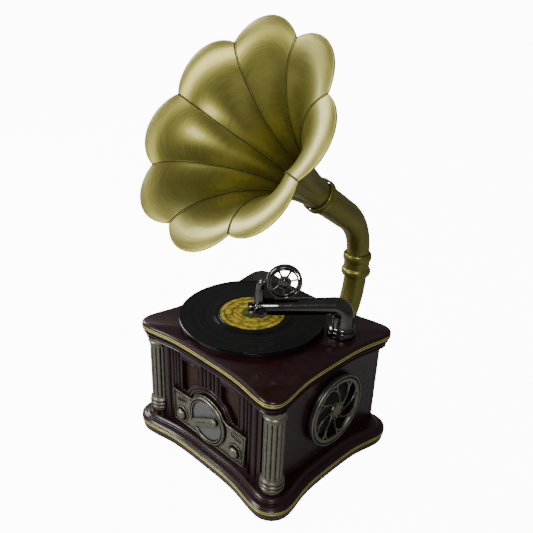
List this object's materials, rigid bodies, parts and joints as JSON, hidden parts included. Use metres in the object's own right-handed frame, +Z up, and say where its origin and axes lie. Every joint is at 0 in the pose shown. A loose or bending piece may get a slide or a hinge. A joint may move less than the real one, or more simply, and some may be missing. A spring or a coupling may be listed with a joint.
{
  "type": "horn loudspeaker",
  "caption": "Tabletop radio loudspeaker styled as a gramophone: a petalled horn on a swan neck over a square case with a turntable, tonearm, tuning dial and side grilles.",
  "frame": {"origin": "centre of the flat underside of the plinth and bottom cover; the rubber feet stand 2 mm below it", "axes": "+Z up, the dial and the horn's mouth face -Y, the tonearm's base and the grille seen in the picture are on the +X side"},
  "size_m": [0.2087, 0.2555, 0.3994],
  "materials": {
    "wine_wood": "dark glossy wine-red lacquer; gold inlay lines in the grooves of the plinth and of the top board",
    "brass_paint": "satin olive-gold paint with fine brushed lines",
    "pewter": "antique pewter plating, dark in the recesses",
    "dark_chrome": "dark smoked chrome",
    "black_plastic": "satin black",
    "vinyl": "black, finely grooved",
    "label_paper": "printed gold paper with a plain ring pattern, no lettering",
    "frosted_disc": "frosted silver grey",
    "speaker_cloth": "brown woven cloth",
    "rubber": "matt black",
    "steel": "plain zinc-plated",
    "circuit_green": "green solder mask",
    "paper_cone": "dark grey paper cone and basket"
  },
  "bodies": {
    "case": {"arm_base": "dark_chrome", "back_screw_1": "steel", "back_screw_2": "steel", "back_screw_3": "steel", "back_screw_4": "steel", "back_wall": "wine_wood", "bottom_cover": "black_plastic", "circuit_board": "circuit_green", "control_plate": "pewter", "corner_column_left": "pewter", "corner_column_right": "pewter", "crown_moulding": "wine_wood", "dial_disc": "frosted_disc", "dial_ring": "pewter", "front_baffle": "wine_wood", "grille_housing_left": "black_plastic", "grille_housing_right": "black_plastic", "horn_driver": "steel", "horn_socket": "brass_paint", "left_wall": "wine_wood", "lower_neck": "brass_paint", "neck_collar": "brass_paint", "platter_motor": "steel", "plinth": "wine_wood", "right_wall": "wine_wood", "rubber_foot_1": "rubber", "rubber_foot_2": "rubber", "rubber_foot_3": "rubber", "rubber_foot_4": "rubber", "side_grille_left": "pewter", "side_grille_right": "pewter", "speaker_cloth_left": "speaker_cloth", "speaker_cloth_right": "speaker_cloth", "speaker_driver_left": "paper_cone", "speaker_driver_right": "paper_cone", "terminal_panel": "black_plastic", "top_board": "wine_wood"},
    "turntable": {"platter": "black_plastic", "record": "vinyl", "record_label": "label_paper", "spindle": "steel"},
    "arm": {"tonearm": "dark_chrome", "head_pin": "dark_chrome"},
    "head": {"gooseneck": "dark_chrome", "sound_box_ring": "dark_chrome", "sound_box_spider": "dark_chrome", "sound_box_hub": "dark_chrome"},
    "tuning": {"tuning_knob": "pewter"},
    "volume": {"volume_knob": "pewter"},
    "mode": {"mode_knob": "pewter"},
    "horn": {"horn_elbow": "brass_paint", "throat_ring": "brass_paint", "horn_bell": "brass_paint"}
  },
  "joints": [
    {"name": "record_spin", "type": "hinge", "parent": "case", "child": "turntable", "pos_m": [-0.016, -0.0034, 0.1285], "axis": [0, 0, 1], "continuous": true},
    {"name": "arm_swing", "type": "hinge", "parent": "case", "child": "arm", "pos_m": [0.0593, 0.0398, 0.1305], "axis": [0, 0, 1], "range_deg": [-15, 45]},
    {"name": "head_flip", "type": "hinge", "parent": "arm", "child": "head", "pos_m": [0.00832, -0.01884, 0.1542], "axis": [0.7547, -0.6561, 0], "range_deg": [0, 132]},
    {"name": "tuning_turn", "type": "hinge", "parent": "case", "child": "tuning", "pos_m": [0, -0.0723, 0.0508], "axis": [0, -1, 0], "range_deg": [-140, 140]},
    {"name": "volume_turn", "type": "hinge", "parent": "case", "child": "volume", "pos_m": [-0.037, -0.0723, 0.0377], "axis": [0, -1, 0], "range_deg": [-140, 140]},
    {"name": "mode_turn", "type": "hinge", "parent": "case", "child": "mode", "pos_m": [0.037, -0.0723, 0.0377], "axis": [0, -1, 0], "range_deg": [-60, 60]},
    {"name": "horn_swivel", "type": "hinge", "parent": "case", "child": "horn", "pos_m": [0, 0.1391, 0.1486], "axis": [0, 0, 1], "range_deg": [-60, 60]}
  ]
}
